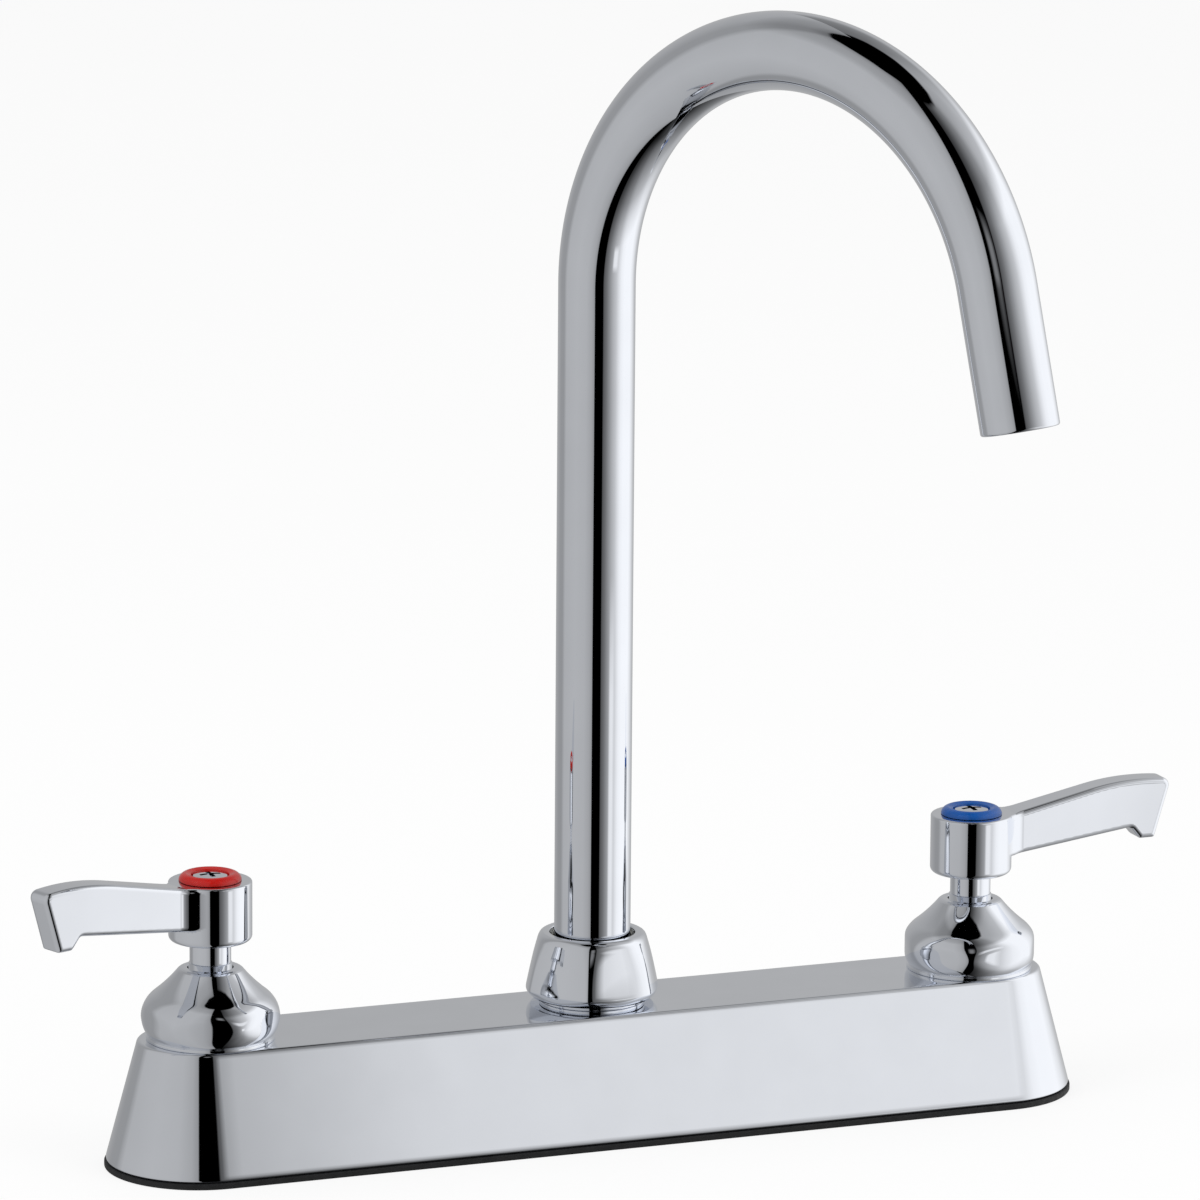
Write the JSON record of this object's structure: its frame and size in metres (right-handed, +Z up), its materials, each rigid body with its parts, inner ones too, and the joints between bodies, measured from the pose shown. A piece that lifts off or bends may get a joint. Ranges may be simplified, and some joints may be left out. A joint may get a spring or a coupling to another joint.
{
  "type": "gooseneck faucet",
  "caption": "Widespread deck-mount faucet: chromed tapered deck, swinging gooseneck spout on a hex-flatted nut, and a quarter-turn lever on a bell bonnet at each side, hot left, cold right",
  "frame": {"origin": "on the seating surface, midway between the axes of the two inlet sockets", "axes": "+X from the hot valve to the cold valve, -Y towards the user, +Z up; at rest the spout points to azimuth -63.5 degrees as pictured"},
  "size_m": [0.3084, 0.1502, 0.287],
  "materials": {
    "polished_chrome": "polished chrome plate",
    "cast_brass": "as cast and turned",
    "black_rubber": "moulded, matt",
    "ceramic": "lapped ceramic",
    "white_nylon": "moulded, matt",
    "red_plastic": "moulded, glossy",
    "blue_plastic": "moulded, glossy"
  },
  "bodies": {
    "deck": {"deck_shell": "polished_chrome", "base_gasket": "black_rubber", "spout_hub": "cast_brass", "spout_nipple": "polished_chrome", "spout_nut": "polished_chrome", "spout_washer": "white_nylon", "hot_valve_body": "cast_brass", "hot_cross_tube": "cast_brass", "hot_seat_washer": "black_rubber", "hot_cartridge": "polished_chrome", "hot_fixed_disc": "ceramic", "hot_bonnet": "polished_chrome", "cold_valve_body": "cast_brass", "cold_cross_tube": "cast_brass", "cold_seat_washer": "black_rubber", "cold_cartridge": "polished_chrome", "cold_fixed_disc": "ceramic", "cold_bonnet": "polished_chrome"},
    "spout": {"gooseneck_tube": "polished_chrome", "spout_bushing": "cast_brass", "spout_o_rings": "black_rubber"},
    "hot_handle": {"hot_moving_disc": "ceramic", "hot_stem": "cast_brass", "hot_stem_o_rings": "black_rubber", "hot_stem_sleeve": "polished_chrome", "hot_lever": "polished_chrome", "hot_index_ring": "red_plastic", "hot_handle_screw": "polished_chrome"},
    "cold_handle": {"cold_moving_disc": "ceramic", "cold_stem": "cast_brass", "cold_stem_o_rings": "black_rubber", "cold_stem_sleeve": "polished_chrome", "cold_lever": "polished_chrome", "cold_index_ring": "blue_plastic", "cold_handle_screw": "polished_chrome"}
  },
  "joints": [
    {"name": "spout_swing", "type": "hinge", "parent": "deck", "child": "spout", "pos_m": [0, 0.0031, 0.0393], "axis": [0, 0, 1], "continuous": true},
    {"name": "hot_turn", "type": "hinge", "parent": "deck", "child": "hot_handle", "pos_m": [-0.1016, 0, 0.0522], "axis": [0, 0, 1], "range_deg": [0, 90]},
    {"name": "cold_turn", "type": "hinge", "parent": "deck", "child": "cold_handle", "pos_m": [0.1016, 0, 0.0522], "axis": [0, 0, 1], "range_deg": [-90, 0]}
  ]
}
